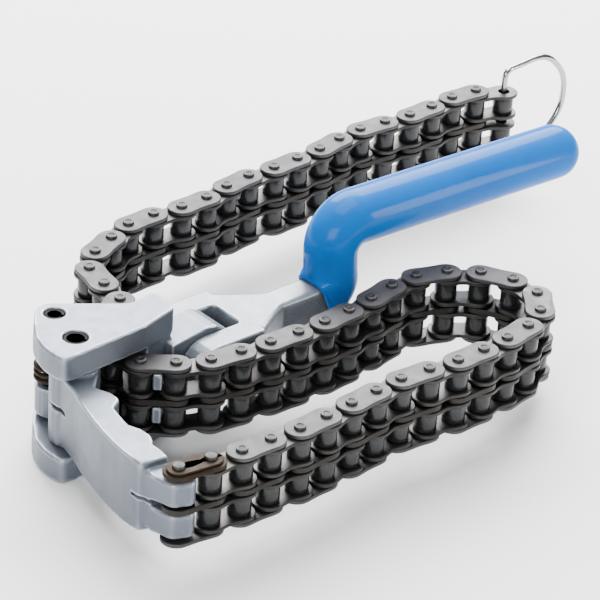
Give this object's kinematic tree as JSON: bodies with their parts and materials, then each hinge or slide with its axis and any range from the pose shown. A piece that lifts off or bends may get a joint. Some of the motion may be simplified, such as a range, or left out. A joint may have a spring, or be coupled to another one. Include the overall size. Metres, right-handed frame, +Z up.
{
  "type": "chain filter wrench",
  "caption": "Filter wrench: two-strand roller chain pinned to a swinging toothed jaw, looped through a two-eared head with hook teeth, and a hinged cranked handle with a blue dipped grip.",
  "frame": {"origin": "on the underside of the head's lower ear, in the middle of its flat", "axes": "+Z up, square to the ears and along the chain pins; +X along the handle, from the head to the grip; +Y to the side of the chain's free end"},
  "size_m": [0.338, 0.1708, 0.0719],
  "materials": {
    "cast_silver": "satin silver cast metal",
    "forged_bar": "satin forged steel",
    "chain_steel": "grey satin link plates",
    "oiled_steel": "dark oiled spring steel",
    "pin_steel": "rolled spring pin",
    "grip_vinyl": "glossy dipped sky-blue vinyl",
    "bright_wire": "bright plated wire"
  },
  "bodies": {
    "head": {"head_casting": "cast_silver", "jaw_pin": "pin_steel", "keeper_pin": "pin_steel", "torsion_spring": "oiled_steel", "chain_link_15": "chain_steel"},
    "jaw": {"jaw": "cast_silver"},
    "keeper": {"keeper": "cast_silver"},
    "handle": {"handle_bar": "forged_bar", "flex_pin": "pin_steel", "grip": "grip_vinyl"},
    "link_01": {"chain_link_01": "chain_steel", "spring_clip": "oiled_steel"},
    "link_02": {"chain_link_02": "chain_steel"},
    "link_03": {"chain_link_03": "chain_steel"},
    "link_04": {"chain_link_04": "chain_steel"},
    "link_05": {"chain_link_05": "chain_steel"},
    "link_06": {"chain_link_06": "chain_steel"},
    "link_07": {"chain_link_07": "chain_steel"},
    "link_08": {"chain_link_08": "chain_steel"},
    "link_09": {"chain_link_09": "chain_steel"},
    "link_10": {"chain_link_10": "chain_steel"},
    "link_14": {"chain_link_14": "chain_steel"},
    "link_13": {"chain_link_13": "chain_steel"},
    "link_12": {"chain_link_12": "chain_steel"},
    "link_11": {"chain_link_11": "chain_steel"},
    "link_16": {"chain_link_16": "chain_steel"},
    "link_17": {"chain_link_17": "chain_steel"},
    "link_18": {"chain_link_18": "chain_steel"},
    "link_19": {"chain_link_19": "chain_steel"},
    "link_20": {"chain_link_20": "chain_steel"},
    "link_21": {"chain_link_21": "chain_steel"},
    "link_22": {"chain_link_22": "chain_steel"},
    "link_23": {"chain_link_23": "chain_steel"},
    "link_24": {"chain_link_24": "chain_steel"},
    "link_25": {"chain_link_25": "chain_steel"},
    "link_26": {"chain_link_26": "chain_steel"},
    "link_27": {"chain_link_27": "chain_steel"},
    "ring": {"pull_ring": "bright_wire"}
  },
  "joints": [
    {"name": "jaw_swing", "type": "hinge", "parent": "head", "child": "jaw", "pos_m": [-0.02, -0.002, 0.026], "axis": [0, 0, 1], "range_deg": [-30, 12]},
    {"name": "keeper_swing", "type": "hinge", "parent": "head", "child": "keeper", "pos_m": [-0.0161, 0.0157, 0.026], "axis": [0, 0, 1], "range_deg": [-10, 30], "stiffness_Nm_per_rad": 0.05},
    {"name": "handle_flex", "type": "hinge", "parent": "head", "child": "handle", "pos_m": [0.0315, -0.00235, 0.0285], "axis": [0, -1, 0], "range_deg": [-60, 60]},
    {"name": "link_01_hinge", "type": "hinge", "parent": "jaw", "child": "link_01", "pos_m": [-0.03233, -0.07649, 0.026], "axis": [0, 0, 1], "range_deg": [-30, 3]},
    {"name": "link_02_hinge", "type": "hinge", "parent": "link_01", "child": "link_02", "pos_m": [-0.0071, -0.07936, 0.026], "axis": [0, 0, -1], "range_deg": [-3, 30]},
    {"name": "link_03_hinge", "type": "hinge", "parent": "link_02", "child": "link_03", "pos_m": [0.01829, -0.08003, 0.026], "axis": [0, 0, 1], "range_deg": [-30, 4]},
    {"name": "link_04_hinge", "type": "hinge", "parent": "link_03", "child": "link_04", "pos_m": [0.04361, -0.07803, 0.026], "axis": [0, 0, -1], "range_deg": [-2, 30]},
    {"name": "link_05_hinge", "type": "hinge", "parent": "link_04", "child": "link_05", "pos_m": [0.06891, -0.07582, 0.026], "axis": [0, 0, 1], "range_deg": [-30, 1]},
    {"name": "link_06_hinge", "type": "hinge", "parent": "link_05", "child": "link_06", "pos_m": [0.09419, -0.07825, 0.026], "axis": [0, 0, -1], "range_deg": [-1, 30]},
    {"name": "link_07_hinge", "type": "hinge", "parent": "link_06", "child": "link_07", "pos_m": [0.11955, -0.07715, 0.026], "axis": [0, 0, 1], "range_deg": [-30, 1]},
    {"name": "link_08_hinge", "type": "hinge", "parent": "link_07", "child": "link_08", "pos_m": [0.14354, -0.06958, 0.026], "axis": [0, 0, -1], "range_deg": [0, 30]},
    {"name": "link_09_hinge", "type": "hinge", "parent": "link_08", "child": "link_09", "pos_m": [0.15111, -0.04695, 0.026], "axis": [0, 0, 1], "range_deg": [-30, 4]},
    {"name": "link_10_hinge", "type": "hinge", "parent": "link_09", "child": "link_10", "pos_m": [0.13492, -0.02799, 0.026], "axis": [0, 0, -1], "range_deg": [-30, 30]},
    {"name": "link_14_hinge", "type": "hinge", "parent": "head", "child": "link_14", "pos_m": [0.0105, -0.0212, 0.026], "axis": [0, 0, -1], "range_deg": [-2, 20]},
    {"name": "link_13_hinge", "type": "hinge", "parent": "link_14", "child": "link_13", "pos_m": [0.03457, -0.02826, 0.026], "axis": [0, 0, 1], "range_deg": [-30, 4]},
    {"name": "link_12_hinge", "type": "hinge", "parent": "link_13", "child": "link_12", "pos_m": [0.05991, -0.02996, 0.026], "axis": [0, 0, -1], "range_deg": [-8, 30]},
    {"name": "link_11_hinge", "type": "hinge", "parent": "link_12", "child": "link_11", "pos_m": [0.08526, -0.02878, 0.026], "axis": [0, 0, 1], "range_deg": [-30, 16]},
    {"name": "link_16_hinge", "type": "hinge", "parent": "head", "child": "link_16", "pos_m": [0.00077, -0.01304, 0.026], "axis": [0, 0, -1], "range_deg": [-3, 6]},
    {"name": "link_17_hinge", "type": "hinge", "parent": "link_16", "child": "link_17", "pos_m": [0.0014, 0.01118, 0.026], "axis": [0, 0, 1], "range_deg": [-10, 30]},
    {"name": "link_18_hinge", "type": "hinge", "parent": "link_17", "child": "link_18", "pos_m": [0.02173, 0.02622, 0.026], "axis": [0, 0, -1], "range_deg": [-30, 30]},
    {"name": "link_19_hinge", "type": "hinge", "parent": "link_18", "child": "link_19", "pos_m": [0.02658, 0.05115, 0.026], "axis": [0, 0, 1], "range_deg": [-30, 30]},
    {"name": "link_20_hinge", "type": "hinge", "parent": "link_19", "child": "link_20", "pos_m": [0.04747, 0.06498, 0.026], "axis": [0, 0, -1], "range_deg": [-30, 30]},
    {"name": "link_21_hinge", "type": "hinge", "parent": "link_20", "child": "link_21", "pos_m": [0.07192, 0.0704, 0.026], "axis": [0, 0, 1], "range_deg": [-30, 30]},
    {"name": "link_22_hinge", "type": "hinge", "parent": "link_21", "child": "link_22", "pos_m": [0.09722, 0.06929, 0.026], "axis": [0, 0, -1], "range_deg": [-30, 30]},
    {"name": "link_23_hinge", "type": "hinge", "parent": "link_22", "child": "link_23", "pos_m": [0.12217, 0.07392, 0.026], "axis": [0, 0, 1], "range_deg": [-30, 30]},
    {"name": "link_24_hinge", "type": "hinge", "parent": "link_23", "child": "link_24", "pos_m": [0.14755, 0.07414, 0.026], "axis": [0, 0, -1], "range_deg": [-30, 30]},
    {"name": "link_25_hinge", "type": "hinge", "parent": "link_24", "child": "link_25", "pos_m": [0.17267, 0.07767, 0.026], "axis": [0, 0, 1], "range_deg": [-30, 30]},
    {"name": "link_26_hinge", "type": "hinge", "parent": "link_25", "child": "link_26", "pos_m": [0.19794, 0.07833, 0.026], "axis": [0, 0, -1], "range_deg": [-30, 30]},
    {"name": "link_27_hinge", "type": "hinge", "parent": "link_26", "child": "link_27", "pos_m": [0.22327, 0.07789, 0.026], "axis": [0, 0, 1], "range_deg": [-30, 30]},
    {"name": "ring_swing", "type": "hinge", "parent": "link_27", "child": "ring", "pos_m": [0.26035, 0.07357, 0.026], "axis": [0, 0, 1], "range_deg": [-60, 60]}
  ]
}
